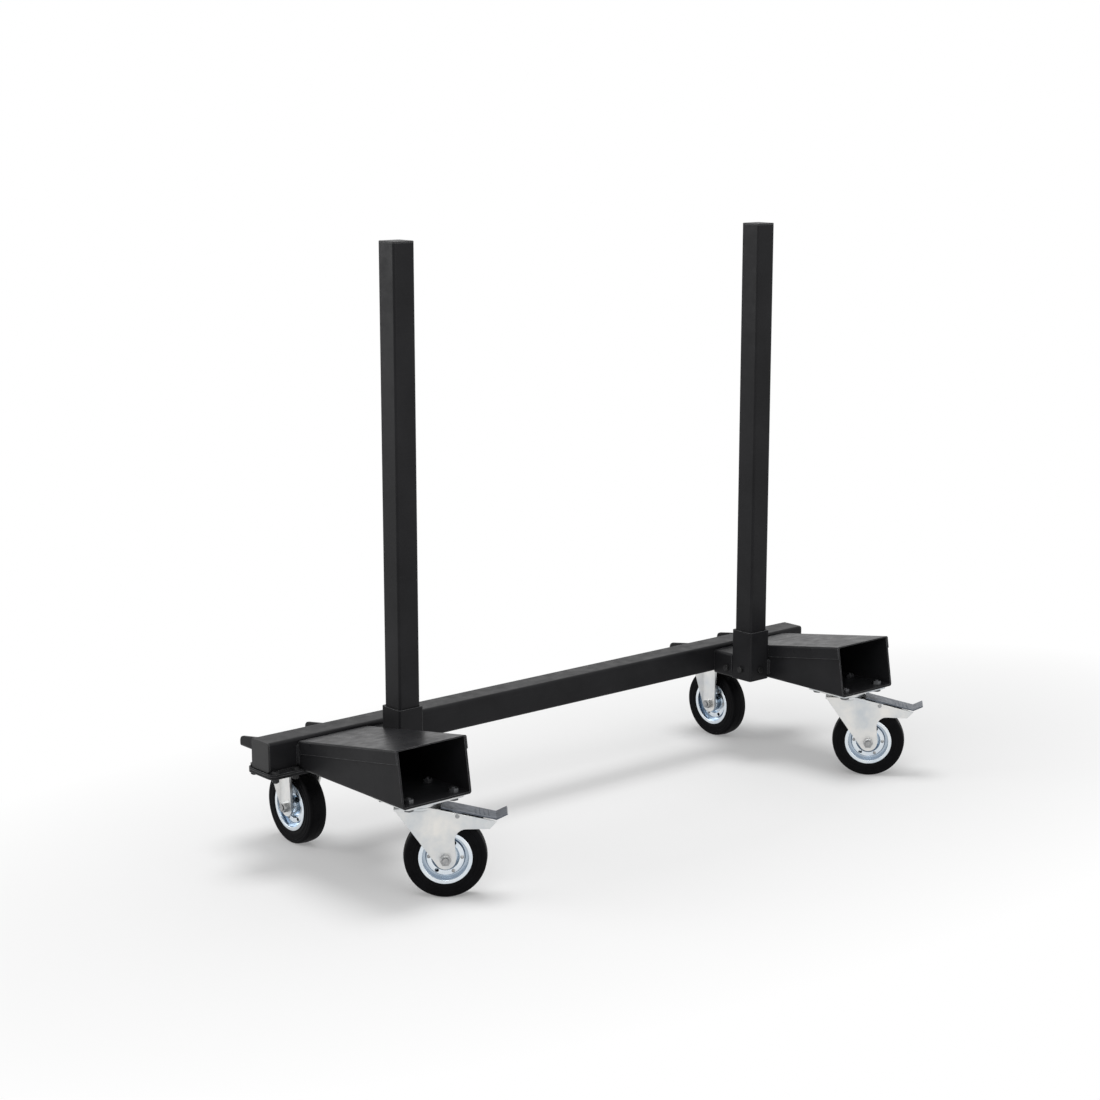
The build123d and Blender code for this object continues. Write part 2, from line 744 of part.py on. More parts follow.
for side, sign, turn in (("left", -1, left_castor_turn), ("right", 1, right_castor_turn)):
    foot_place = Pos(sign * foot_pitch / 2, 0, 0)
    for name, piece in side_pieces.items():
        add(f"{side}_{name}", placed(foot_place, piece if sign < 0 else mirrored(piece)))
    for name, piece in shared_pieces.items():
        add(name, placed(foot_place, piece if sign < 0 else mirrored(piece)))
    front = foot_place * Pos(0, front_castor_back, 0)
    turned = front * Rot(Z=turn)
    rear = foot_place * Pos(0, rear_castor_back, 0)
    add(f"{side}_front_plate", front * front_plate)
    add(f"{side}_front_race", front * upper_race)
    add(f"{side}_front_king_pin", front * king_pin)
    for name, piece in swivel_pieces.items():
        add(f"{side}_front_{name}", placed(turned, piece))
    add(f"{side}_rear_bracket", rear * bracket)
    for name, piece in wheel_pieces.items():
        add(f"{side}_front_{name}", placed(turned * Pos(castor_trail, 0, wheel_radius), piece))
        add(f"{side}_rear_{name}", placed(rear * Pos(0, 0, wheel_radius) * Rot(Z=90), piece))

beam = square_tube(beam_size, beam_wall, beam_round, beam_length)
add("tie_beam", Pos(-beam_length / 2, beam_mid, beam_level) * Rot(Y=90) * beam)
end_cap = insert_cap(beam_size, beam_wall, beam_round, beam_cap, beam_plug_depth)
for sign in (-1, 1):
    end_place = Pos(sign * beam_length / 2, beam_mid, beam_level) * Rot(Y=90 * sign)
    add("beam_end_caps", end_place * end_cap)

# The origin lies on the floor, halfway along the outside length and depth
boxes = [piece.bounding_box() for pieces in nodes.values() for piece in pieces]
front_most = min(box.min.Y for box in boxes)
back_most = max(box.max.Y for box in boxes)
shift = -(front_most + back_most) / 2

for name, pieces in nodes.items():
    solids = [Pos(0, shift, 0) * solid for piece in pieces for solid in piece.solids()]
    shape = solids[0] if len(solids) == 1 else Compound(children=solids)
    export_step(shape, f"parts/{name}.step")

print(len(nodes), "nodes, moved along Y by", round(shift, 4))
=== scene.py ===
"""Panel trolley: looks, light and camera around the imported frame."""

import json
import logging
import math
from dataclasses import dataclass, field
from enum import Enum
from typing import Any, Iterable, Sequence

import bmesh
import bpy
from mathutils import Matrix, Vector


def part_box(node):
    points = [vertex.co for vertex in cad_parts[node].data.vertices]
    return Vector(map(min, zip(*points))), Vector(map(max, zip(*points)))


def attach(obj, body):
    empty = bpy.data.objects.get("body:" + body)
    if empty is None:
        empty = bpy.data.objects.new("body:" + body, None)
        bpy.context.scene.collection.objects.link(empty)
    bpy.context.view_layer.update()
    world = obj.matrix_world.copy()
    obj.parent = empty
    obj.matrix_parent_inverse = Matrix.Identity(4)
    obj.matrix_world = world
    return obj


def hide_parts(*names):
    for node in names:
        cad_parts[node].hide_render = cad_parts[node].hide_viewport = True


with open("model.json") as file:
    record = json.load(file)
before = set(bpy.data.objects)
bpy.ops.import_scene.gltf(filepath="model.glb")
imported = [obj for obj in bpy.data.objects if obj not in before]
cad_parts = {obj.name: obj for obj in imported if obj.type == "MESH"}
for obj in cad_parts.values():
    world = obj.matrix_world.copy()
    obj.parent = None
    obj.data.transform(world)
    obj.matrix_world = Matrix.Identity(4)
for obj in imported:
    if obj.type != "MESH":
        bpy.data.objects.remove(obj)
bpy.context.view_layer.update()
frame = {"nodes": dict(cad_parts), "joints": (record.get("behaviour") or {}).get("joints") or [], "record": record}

logging.basicConfig(level=logging.INFO, format="%(levelname)s %(message)s")
LOG = logging.getLogger("panel_trolley")

Colour = tuple[float, float, float]
Point = tuple[float, float, float]
Pair = tuple[float, float]
Ring = list[Pair]
Face = tuple[int, ...]
Socket = bpy.types.NodeSocket

WHITE = (1.0, 1.0, 1.0, 1.0)
SHARP_EDGE = math.radians(35.0)


class Side(Enum):
    """The two ends of the trolley, with the sign of their X place."""

    LEFT = ("left", -1.0)
    RIGHT = ("right", 1.0)

    @property
    def word(self) -> str:
        """Word that starts the names of this side's pieces."""
        return self.value[0]

    @property
    def sign(self) -> float:
        """Sign of this side's X place."""
        return self.value[1]

    def outer(self, low: float, high: float) -> float:
        """The one of two X places that lies further out on this side."""
        return low if self is Side.LEFT else high


class Row(Enum):
    """Front castors swivel and have brakes, rear castors are fixed."""

    FRONT = "front"
    REAR = "rear"


@dataclass(frozen=True)
class Grain:
    """Cloudy noise: features per metre, octaves, and the weight of the finer octaves."""

    scale: float
    detail: float = 2.0
    roughness: float = 0.5


@dataclass(frozen=True)
class Span:
    """Results from low to high, while the value that is read goes from start to end."""

    low: float
    high: float
    start: float = 0.3
    end: float = 0.7


@dataclass(frozen=True)
class Tones:
    """Two colours, and the values that are read where each of them is reached."""

    dark: Colour
    light: Colour
    start: float = 0.3
    end: float = 0.7


@dataclass(frozen=True)
class Relief:
    """Noise that bends the surface, its depth in metres and the share of it that shows."""

    grain: Grain
    depth: float
    strength: float


class Graph:
    """Small helper around one material's node tree."""

    BEVEL_SAMPLES = 6
    SHELTER_SAMPLES = 8
    # Colour sockets of the mix node go by number, because its sockets share their names.
    MIX_UNDER = 6
    MIX_OVER = 7
    MIX_RESULT = 2

    def __init__(self, name: str) -> None:
        """Start an empty material.

        Args:
            name: Name of the new material.
        """
        self.material = bpy.data.materials.new(name)
        self.material.use_nodes = True
        self.tree = self.material.node_tree
        self.tree.nodes.clear()

    def node(self, kind: str, **settings: Any) -> bpy.types.Node:
        """Add a node.

        Args:
            kind: Blender's type name of the node.
            **settings: Attributes to set on it.

        Returns:
            The new node.
        """
        node = self.tree.nodes.new(kind)
        for key, value in settings.items():
            setattr(node, key, value)
        return node

    def link(self, source: Socket, target: Socket) -> None:
        """Join two sockets."""
        self.tree.links.new(source, target)

    def place(self) -> Socket:
        """Place on the object in metres."""
        return self.node("ShaderNodeTexCoord").outputs["Object"]

    def noise(self, place: Socket, grain: Grain) -> Socket:
        """Cloudy noise over the surface.

        Args:
            place: Coordinates to read.
            grain: Size and detail of the noise.

        Returns:
            The noise value from 0 to 1.
        """
        noise = self.node("ShaderNodeTexNoise")
        noise.inputs["Scale"].default_value = grain.scale
        noise.inputs["Detail"].default_value = grain.detail
        noise.inputs["Roughness"].default_value = grain.roughness
        self.link(place, noise.inputs["Vector"])
        return noise.outputs["Fac"]

    def ramp(self, value: Socket, tones: Tones) -> Socket:
        """Colours along a value.

        Args:
            value: Value from 0 to 1.
            tones: The two colours and where they are reached.

        Returns:
            The colour socket.
        """
        ramp = self.node("ShaderNodeValToRGB")
        first, last = ramp.color_ramp.elements
        first.position = tones.start
        first.color = (*tones.dark, 1.0)
        last.position = tones.end
        last.color = (*tones.light, 1.0)
        self.link(value, ramp.inputs["Fac"])
        return ramp.outputs["Color"]

    def span(self, value: Socket, span: Span) -> Socket:
        """Map a value between two limits.

        Args:
            value: Value to map.
            span: Limits of the value and of the result.

        Returns:
            The mapped value.
        """
        mapped = self.node("ShaderNodeMapRange")
        mapped.inputs["From Min"].default_value = span.start
        mapped.inputs["From Max"].default_value = span.end
        mapped.inputs["To Min"].default_value = span.low
        mapped.inputs["To Max"].default_value = span.high
        self.link(value, mapped.inputs["Value"])
        return mapped.outputs["Result"]

    def math(self, operation: str, first: Socket | float, second: Socket | float) -> Socket:
        """Arithmetic on sockets or numbers.

        Args:
            operation: Blender's name of the operation.
            first: First socket or number.
            second: Second socket or number.

        Returns:
            The result.
        """
        node = self.node("ShaderNodeMath", operation=operation)
        for socket, value in zip(node.inputs, (first, second)):
            if isinstance(value, float):
                socket.default_value = value
            else:
                self.link(value, socket)
        return node.outputs["Value"]

    def stretch(self, place: Socket, scale: Point) -> Socket:
        """Coordinates drawn out by a scale along each axis.

        Args:
            place: Coordinates to read.
            scale: Factor along X, Y and Z.

        Returns:
            The scaled coordinates.
        """
        mapping = self.node("ShaderNodeMapping")
        mapping.inputs["Scale"].default_value = scale
        self.link(place, mapping.inputs["Vector"])
        return mapping.outputs["Vector"]

    def mix(self, share: Socket, under: Socket, over: Colour) -> Socket:
        """Lay a colour over another.

        Args:
            share: How much of the upper colour shows.
            under: Colour socket below.
            over: Colour on top.

        Returns:
            The mixed colour.
        """
        mix = self.node("ShaderNodeMix", data_type="RGBA")
        self.link(share, mix.inputs["Factor"])
        self.link(under, mix.inputs[self.MIX_UNDER])
        mix.inputs[self.MIX_OVER].default_value = (*over, 1.0)
        return mix.outputs[self.MIX_RESULT]

    def soft_normal(self, radius: float) -> Socket:
        """Soften the edges.

        Args:
            radius: Rounding of the edges in metres.

        Returns:
            The normal with rounded edges.
        """
        bevel = self.node("ShaderNodeBevel", samples=self.BEVEL_SAMPLES)
        bevel.inputs["Radius"].default_value = radius
        return bevel.outputs["Normal"]

    def edges(self, soft: Socket) -> Socket:
        """Find the edges.

        Args:
            soft: Normal with rounded edges.

        Returns:
            A value that rises from zero on flat faces towards the edges.
        """
        true = self.node("ShaderNodeNewGeometry")
        both = self.node("ShaderNodeVectorMath", operation="DOT_PRODUCT")
        self.link(soft, both.inputs[0])
        self.link(true.outputs["Normal"], both.inputs[1])
        return self.math("SUBTRACT", 1.0, both.outputs["Value"])

    def shelter(self, reach: float) -> Socket:
        """Find the corners and hollows in which a piece shades itself, for painting shade into its colour.

        Args:
            reach: Distance in metres within which the piece shades a place.

        Returns:
            A value from zero in the open to one in deep, shaded corners: the share of painted shade.
        """
        around = self.node("ShaderNodeAmbientOcclusion", samples=self.SHELTER_SAMPLES, only_local=True)
        around.inputs["Distance"].default_value = reach
        return self.math("SUBTRACT", 1.0, around.outputs["AO"])

    def bump(self, place: Socket, relief: Relief, base: Socket | None = None) -> Socket:
        """Surface relief.

        Args:
            place: Coordinates to read.
            relief: Noise, depth and strength of the relief.
            base: Normal that the relief starts from, where it isn't the plain one.

        Returns:
            The bent normal.
        """
        bump = self.node("ShaderNodeBump")
        bump.inputs["Distance"].default_value = relief.depth
        bump.inputs["Strength"].default_value = relief.strength
        self.link(self.noise(place, relief.grain), bump.inputs["Height"])
        if base is not None:
            self.link(base, bump.inputs["Normal"])
        return bump.outputs["Normal"]

    def finish(self, colour: Socket, roughness: Socket, normal: Socket,
               **constants: float) -> bpy.types.Material:
        """Close the material with its shader.

        Args:
            colour: Base colour socket.
            roughness: Roughness socket.
            normal: Normal socket.
            **constants: Values for the shader's own sockets, spaces written as underscores.

        Returns:
            The finished material.
        """
        shader = self.node("ShaderNodeBsdfPrincipled")
        for key, value in constants.items():
            shader.inputs[key.replace("_", " ")].default_value = value
        self.link(colour, shader.inputs["Base Color"])
        self.link(roughness, shader.inputs["Roughness"])
        self.link(normal, shader.inputs["Normal"])
        output = self.node("ShaderNodeOutputMaterial")
        self.link(shader.outputs["BSDF"], output.inputs["Surface"])
        return self.material


@dataclass(frozen=True)
class PowderCoat:
    """Satin black powder coat with orange peel, a painted highlight along its edges that is full in patches of
    wear, and scuffs along X.
    """

    name: str = "black_powder_coat"
    tones: Tones = Tones((0.0100, 0.0100, 0.0110), (0.0190, 0.0190, 0.0206), 0.3, 0.75)
    cloud: Grain = Grain(7.0, 5.0, 0.6)
    # Light colour of the painted edge highlight, which also stands for wear where the chip noise is strong.
    worn: Colour = (0.20, 0.20, 0.208)
    edge_radius: float = 0.0018
    edge: Span = Span(0.0, 1.0, 0.02, 0.22)
    chip: Grain = Grain(70.0, 4.0, 0.7)
    chipped: Span = Span(0.4, 1.0, 0.38, 0.64)
    scuffed: Colour = (0.05, 0.05, 0.051)
    scuff: Grain = Grain(6.0, 6.0, 0.7)
    scuff_stretch: Point = (2.0, 55.0, 55.0)
    scuffs: Span = Span(0.0, 0.12, 0.56, 0.74)
    smear: Grain = Grain(38.0, 4.0, 0.65)
    roughness: Span = Span(0.30, 0.46)
    peel: Relief = Relief(Grain(420.0, 1.0), 0.00012, 0.5)
    specular: float = 0.095

    def make(self) -> bpy.types.Material:
        """Build the material.

        Returns:
            The finished material.
        """
        graph = Graph(self.name)
        place = graph.place()
        soft = graph.soft_normal(self.edge_radius)
        colour = graph.ramp(graph.noise(place, self.cloud), self.tones)
        chips = graph.span(graph.noise(place, self.chip), self.chipped)
        # Painted highlight: a light line along every edge, at no less than 0.4 of its strength everywhere, and
        # full where the chip noise marks wear.
        rubbed = graph.math("MULTIPLY", graph.span(graph.edges(soft), self.edge), chips)
        colour = graph.mix(rubbed, colour, self.worn)
        lines = graph.noise(graph.stretch(place, self.scuff_stretch), self.scuff)
        colour = graph.mix(graph.span(lines, self.scuffs), colour, self.scuffed)
        roughness = graph.span(graph.noise(place, self.smear), self.roughness)
        relief = graph.bump(place, self.peel, soft)
        return graph.finish(colour, roughness, relief, Specular_IOR_Level=self.specular)


@dataclass(frozen=True)
class ZincPlate:
    """Zinc plating with cloudy passivation, painted shade in its corners and hollows, and a fine rolled grain."""

    name: str = "zinc_sheet"
    tones: Tones = Tones((0.56, 0.59, 0.615), (0.77, 0.755, 0.725), 0.32, 0.68)
    cloud: Grain = Grain(17.0, 4.0, 0.6)
    stain: Colour = (0.46, 0.475, 0.49)
    mark: Grain = Grain(9.0, 6.0, 0.7)
    marks: Span = Span(0.0, 0.5, 0.56, 0.78)
    # Colour of the painted shade in corners and hollows where the piece shades itself.
    corner: Colour = (0.20, 0.21, 0.22)
    corner_reach: float = 0.016
    corners: Span = Span(0.0, 0.85, 0.08, 0.45)
    spangle: Grain = Grain(120.0, 3.0, 0.55)
    roughness: Span = Span(0.30, 0.46)
    edge_radius: float = 0.0007
    rolled: Relief = Relief(Grain(260.0), 0.00006, 0.35)

    def make(self) -> bpy.types.Material:
        """Build the material.

        Returns:
            The finished material.
        """
        graph = Graph(self.name)
        place = graph.place()
        colour = graph.ramp(graph.noise(place, self.cloud), self.tones)
        marks = graph.span(graph.noise(place, self.mark), self.marks)
        colour = graph.mix(marks, colour, self.stain)
        # Painted shade: darker towards the corner colour where ambient occlusion finds the piece shading itself.
        corners = graph.span(graph.shelter(self.corner_reach), self.corners)
        colour = graph.mix(corners, colour, self.corner)
        roughness = graph.span(graph.noise(place, self.spangle), self.roughness)
        relief = graph.bump(place, self.rolled, graph.soft_normal(self.edge_radius))
        return graph.finish(colour, roughness, relief, Metallic=1.0)


@dataclass(frozen=True)
class Rubber:
    """Matt black rubber with a fine moulded grain and faint dust."""

    name: str = "black_rubber"
    tones: Tones = Tones((0.0022, 0.0022, 0.0027), (0.0054, 0.0054, 0.0064), 0.35, 0.8)
    dust: Grain = Grain(55.0, 5.0, 0.65)
    roughness: Span = Span(0.44, 0.62)
    mould: Relief = Relief(Grain(900.0), 0.0001, 0.4)
    specular: float = 0.06

    def make(self) -> bpy.types.Material:
        """Build the material.

        Returns:
            The finished material.
        """
        graph = Graph(self.name)
        place = graph.place()
        dust = graph.noise(place, self.dust)
        colour = graph.ramp(dust, self.tones)
        roughness = graph.span(dust, self.roughness)
        relief = graph.bump(place, self.mould)
        return graph.finish(colour, roughness, relief, Specular_IOR_Level=self.specular)


@dataclass(frozen=True)
class BearingSteel:
    """Ground and oiled steel of balls and rollers."""

    name: str = "ground_bearing_steel"
    tones: Tones = Tones((0.42, 0.42, 0.42), (0.62, 0.62, 0.63))
    oil: Grain = Grain(180.0, 3.0)
    roughness: Span = Span(0.12, 0.26)
    ground: Relief = Relief(Grain(180.0, 3.0), 0.00002, 0.3)

    def make(self) -> bpy.types.Material:
        """Build the material.

        Returns:
            The finished material.
        """
        graph = Graph(self.name)
        place = graph.place()
        oil = graph.noise(place, self.oil)
        colour = graph.ramp(oil, self.tones)
        roughness = graph.span(oil, self.roughness)
        return graph.finish(colour, roughness, graph.bump(place, self.ground), Metallic=1.0)


@dataclass(frozen=True)
class RubbedFinish:
    """Cloudy finish that is rubbed lighter along its edges."""

    name: str
    tones: Tones
    cloud: Grain
    rubbed: Colour
    edge_radius: float
    edge: Span
    sheen: Grain
    roughness: Span
    relief: Relief
    metallic: float = 0.0
    specular: float = 0.5

    def make(self) -> bpy.types.Material:
        """Build the material.

        Returns:
            The finished material.
        """
        graph = Graph(self.name)
        place = graph.place()
        soft = graph.soft_normal(self.edge_radius)
        colour = graph.ramp(graph.noise(place, self.cloud), self.tones)
        colour = graph.mix(graph.span(graph.edges(soft), self.edge), colour, self.rubbed)
        roughness = graph.span(graph.noise(place, self.sheen), self.roughness)
        relief = graph.bump(place, self.relief, soft)
        return graph.finish(colour, roughness, relief, Metallic=self.metallic,
                            Specular_IOR_Level=self.specular)


@dataclass(frozen=True)
class PedalSteel(RubbedFinish):
    """Blackened blue-grey steel of the brake pedal, bright along its edges."""

    name: str = "blued_pedal_steel"
    tones: Tones = Tones((0.060, 0.070, 0.090), (0.15, 0.165, 0.19), 0.3, 0.75)
    cloud: Grain = Grain(60.0, 4.0, 0.6)
    rubbed: Colour = (0.42, 0.43, 0.45)
    edge_radius: float = 0.0008
    edge: Span = Span(0.0, 0.7, 0.02, 0.3)
    sheen: Grain = Grain(150.0, 3.0)
    roughness: Span = Span(0.28, 0.45)
    relief: Relief = Relief(Grain(500.0), 0.00006, 0.4)
    metallic: float = 0.8


@dataclass(frozen=True)
class BlackOxide(RubbedFinish):
    """Oiled black oxide on bolts and screws."""

    name: str = "black_oxide_steel"
    tones: Tones = Tones((0.012, 0.012, 0.013), (0.032, 0.032, 0.033))
    cloud: Grain = Grain(140.0, 4.0, 0.6)
    rubbed: Colour = (0.12, 0.12, 0.12)
    edge_radius: float = 0.0005
    edge: Span = Span(0.0, 0.5, 0.02, 0.3)
    sheen: Grain = Grain(140.0, 4.0, 0.6)
    roughness: Span = Span(0.30, 0.48)
    relief: Relief = Relief(Grain(140.0, 4.0, 0.6), 0.00004, 0.4)
    metallic: float = 0.6


@dataclass(frozen=True)
class MouldedPlastic(RubbedFinish):
    """Black moulded plastic with a fine spark-eroded grain."""

    name: str = "black_moulded_plastic"
    tones: Tones = Tones((0.007, 0.007, 0.0075), (0.015, 0.015, 0.016))
    cloud: Grain = Grain(45.0, 3.0)
    rubbed: Colour = (0.05, 0.05, 0.05)
    edge_radius: float = 0.0006
    edge: Span = Span(0.0, 0.4, 0.02, 0.3)
    sheen: Grain = Grain(45.0, 3.0)
    roughness: Span = Span(0.44, 0.6)
    relief: Relief = Relief(Grain(1400.0), 0.00008, 0.5)
    specular: float = 0.35


class Finishes:
    """Materials of the trolley, by the record's slots and, for some pieces, by how their names end."""

    def __init__(self) -> None:
        """Build each material once."""
        brake_tones = Tones((0.0022, 0.0022, 0.0027), (0.02, 0.02, 0.021), 0.35, 0.8)
        by_slot = {
            "black_paint": PowderCoat(),
            "zinc_steel": ZincPlate(),
            "black_steel": BlackOxide(),
            "rubber": Rubber(),
            "brake_rubber": Rubber(name="brake_block_rubber", tones=brake_tones),
            "plastic": MouldedPlastic(),
            "pedal_paint": PedalSteel(),
            "bearing_steel": BearingSteel(),
        }
        self.by_slot = {slot: finish.make() for slot, finish in by_slot.items()}
        deck = PowderCoat(
            name="scuffed_deck_coat",
            scuffs=Span(0.0, 0.55, 0.56, 0.74),
            roughness=Span(0.26, 0.42),
        ).make()
        rim = ZincPlate(
            name="blue_zinc_rim",
            tones=Tones((0.66, 0.73, 0.80), (0.82, 0.86, 0.89), 0.32, 0.68),
            cloud=Grain(26.0, 4.0, 0.6),
            stain=(0.60, 0.68, 0.75),
            # Painted shade on the rim's cone wall and inner corners, in blue-grey.
            corner=(0.35, 0.42, 0.50),
            roughness=Span(0.13, 0.24),
        ).make()
        bolt = ZincPlate(
            name="bright_zinc_bolt",
            tones=Tones((0.27, 0.28, 0.29), (0.44, 0.44, 0.435), 0.32, 0.68),
            cloud=Grain(90.0, 4.0, 0.6),
            stain=(0.20, 0.21, 0.22),
            # Painted shade in the bolt's corners.
            corner=(0.12, 0.125, 0.13),
            roughness=Span(0.20, 0.34),
            edge_radius=0.0005,
        ).make()
        # Painted shade: a much darker copy of the zinc for the castor bolts and nuts, which sit in shade inside
        # the feet and under the castor plates.
        nut = ZincPlate(
            name="dull_zinc_nut",
            tones=Tones((0.08, 0.083, 0.09), (0.16, 0.163, 0.168), 0.32, 0.68),
            cloud=Grain(90.0, 4.0, 0.6),
            stain=(0.07, 0.07, 0.073),
            # Painted shade in the nut's corners.
            corner=(0.05, 0.05, 0.053),
            roughness=Span(0.34, 0.5),
        ).make()
        self.by_ending = {
            "foot_cover": deck,
            "rim": rim,
            "hub": rim,
            "castor_bolts": nut,
            "axle": bolt,
            "pedal_pin": bolt,
            "rivets": bolt,
        }

    def dress(self, piece: bpy.types.Object, slot: str) -> None:
        """Give a piece one finish, its own where its name asks for one.

        Args:
            piece: Mesh object to dress.
            slot: Material slot of the record.
        """
        finish = self.by_slot[slot]
        for ending, own in self.by_ending.items():
            if piece.name.endswith(ending):
                finish = own
        materials = piece.data.materials
        if len(materials) == 0:
            materials.append(finish)
        for index in range(len(materials)):
            materials[index] = finish

    def dress_frame(self) -> None:
        """Give every carried-over CAD node the finish of its slot or its own."""
        for row in frame["record"]["subparts"]:
            self.dress(frame["nodes"][row["node"]], row["material_slot"])
            LOG.info("dressed %s as %s", row["node"], row["material_slot"])


def new_piece(name: str, vertices: Iterable[Vector], faces: Iterable[Face]) -> bpy.types.Object:
    """Make a mesh object in the scene, smooth up to its sharp edges.

    Args:
        name: Name of the piece.
        vertices: Corner places in metres.
        faces: Corner numbers of each face.

    Returns:
        The new object.
    """
    mesh = bpy.data.meshes.new(name)
    mesh.from_pydata([tuple(vertex) for vertex in vertices], [], list(faces))
    shape = bmesh.new()
    shape.from_mesh(mesh)
    bmesh.ops.recalc_face_normals(shape, faces=shape.faces)
    shape.to_mesh(mesh)
    shape.free()
    mesh.shade_smooth()
    mesh.set_sharp_from_angle(angle=SHARP_EDGE)
    piece = bpy.data.objects.new(name, mesh)
    bpy.context.scene.collection.objects.link(piece)
    return piece


def joint(name: str) -> dict[str, Any]:
    """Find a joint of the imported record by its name."""
    return next(row for row in frame["joints"] if row["name"] == name)


def axle_matrix(place: Sequence[float], axis: Sequence[float]) -> Matrix:
    """Place whose local Y runs along an axle and whose local Z is up.

    Args:
        place: Middle of the wheel.
        axis: Direction of the axle, level.

    Returns:
        The matrix of that place.
    """
    along = Vector(axis).normalized()
    up = Vector((0.0, 0.0, 1.0))
    across = along.cross(up)
    turn = Matrix((across, along, up)).transposed().to_4x4()
    return Matrix.Translation(Vector(place)) @ turn


def wheel_matrix(side: Side, row: Row) -> Matrix:
    """Place of a wheel, its local Y along the axle.

    Args:
        side: Which end of the trolley.
        row: Front or rear castor.

    Returns:
        The matrix of the wheel's middle.
    """
    spin = joint(f"{side.word}_{row.value}_wheel_spin")
    axis = Vector(spin["axis"])
    if row is Row.REAR:
        axis.negate()
    return axle_matrix(spin["pos_m"], axis)


def arc(centre: Pair, radius: float, start: float, end: float, steps: int) -> Ring:
    """Points along an arc.

    Args:
        centre: Middle of the arc.
        radius: Its radius.
        start: First angle in degrees.
        end: Last angle in degrees.
        steps: Number of parts.

    Returns:
        The points, ends included.
    """
    turns = [math.radians(start + (end - start) * i / steps) for i in range(steps + 1)]
    return [(centre[0] + radius * math.cos(t), centre[1] + radius * math.sin(t)) for t in turns]


def circle(radius: float, steps: int) -> Ring:
    """Points round a circle, each of them once."""
    return arc((0.0, 0.0), radius, 0.0, 360.0, steps)[:-1]


def band(here: int, following: int, count: int) -> list[Face]:
    """Faces between two rings of corners.

    Args:
        here: Number of the first ring's first corner.
        following: Number of the second ring's first corner.
        count: Corners in each ring.

    Returns:
        The faces, one for each corner of a ring.
    """
    faces: list[Face] = []
    for i in range(count):
        j = (i + 1) % count
        faces.append((here + i, here + j, following + j, following + i))
    return faces


def capped_bands(base: int, rings: int, count: int) -> list[Face]:
    """Faces of a row of rings that is closed at both ends.

    Args:
        base: Number of the first ring's first corner.
        rings: Number of rings.
        count: Corners in each ring.

    Returns:
        The faces.
    """
    faces: list[Face] = []
    for ring in range(rings - 1):
        faces += band(base + ring * count, base + (ring + 1) * count, count)
    last = base + (rings - 1) * count
    faces.append(tuple(range(base, base + count)))
    faces.append(tuple(reversed(range(last, last + count))))
    return faces


def lathe(name: str, outline: Ring, segments: int, place: Matrix) -> bpy.types.Object:
    """Make a piece from a closed outline turned round the local Y axis.

    Args:
        name: Name of the piece.
        outline: Radius and Y pairs, closed by the first point.
        segments: Number of steps round the axis.
        place: Matrix of the axis.

    Returns:
        The turned piece.
    """
    vertices: list[Vector] = []
    faces: list[Face] = []
    count = len(outline)
    for step, (across, up) in enumerate(circle(1.0, segments)):
        vertices += [place @ Vector((radius * across, along, radius * up)) for radius, along in outline]
        faces += band(step * count, (step + 1) % segments * count, count)
    return new_piece(name, vertices, faces)


def deck_height(side: Side, y: float) -> float:
    """Height of the sloping deck at a place from front to back.

    Args:
        side: Which end of the trolley.
        y: Place from front to back.

    Returns:
        The height of the deck's top.
    """
    mount = next(row for row in frame["record"]["mounts"] if row["name"] == f"{side.word}_deck")
    place, normal = mount["pos_m"], mount["axis"]
    return place[2] - (y - place[1]) * normal[1] / normal[2]


@dataclass
class Tyre:
    """Solid rubber tyre with rounded shoulders, side ribs and a parting line.

    Radii are measured from the axle, and places along it from the middle of the tread.
    """

    radius: float = 0.080
    half_width: float = 0.020
    bead_radius: float = 0.046
    bead_half: float = 0.018
    flank_radius: float = 0.0535
    flank_step: Pair = (0.0015, 0.0004)
    flank_run: float = 0.004
    rib_height: float = 0.0006
    rib_radii: Pair = (0.0605, 0.0685)
    rib_foot: float = 0.0008
    rib_top: float = 0.0003
    shoulder: float = 0.006
    shoulder_turn: Pair = (90.0, 8.0)
    shoulder_steps: int = 7
    crown: float = 0.0012
    crown_half: float = 0.008
    parting_height: float = 0.0004
    parting_start: float = 0.0022
    parting_foot: float = 0.0007
    parting_top: float = 0.0003
    segments: int = 160

    def half_outline(self) -> Ring:
        """Outline of one half, from the bead round the shoulder to the tread's middle.

        Returns:
            Pairs of radius and place along the axle.
        """
        side = self.half_width - self.rib_height
        out, up = self.flank_step
        points: Ring = [
            (self.bead_radius, self.bead_half),
            (self.flank_radius, self.bead_half),
            (self.flank_radius + out, self.bead_half + up),
            (self.flank_radius + self.flank_run, side),
        ]
        for rib in self.rib_radii:
            points += [(rib - self.rib_foot, side), (rib - self.rib_top, self.half_width)]
            points += [(rib + self.rib_top, self.half_width), (rib + self.rib_foot, side)]
        middle = (self.radius - self.crown - self.shoulder, side - self.shoulder)
        points += arc(middle, self.shoulder, *self.shoulder_turn, self.shoulder_steps)
        tread = self.radius - self.parting_height
        points += [
            (self.radius - self.crown / 2.0, self.crown_half),
            (tread, self.parting_start),
            (tread, self.parting_foot),
            (self.radius, self.parting_top),
        ]
        return points

    def build(self, side: Side, row: Row, finishes: Finishes) -> bpy.types.Object:
        """Make one tyre in place of its plain solid.

        Args:
            side: Which end of the trolley.
            row: Front or rear castor.
            finishes: Materials of the trolley.

        Returns:
            The tyre.
        """
        stem = f"{side.word}_{row.value}"
        half = self.half_outline()
        outline = half + [(radius, -along) for radius, along in reversed(half)]
        piece = lathe(f"{stem}_tyre_moulded", outline, self.segments, wheel_matrix(side, row))
        finishes.dress(piece, "rubber")
        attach(piece, f"{stem}_wheel")
        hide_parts(f"{stem}_tyre")
        return piece


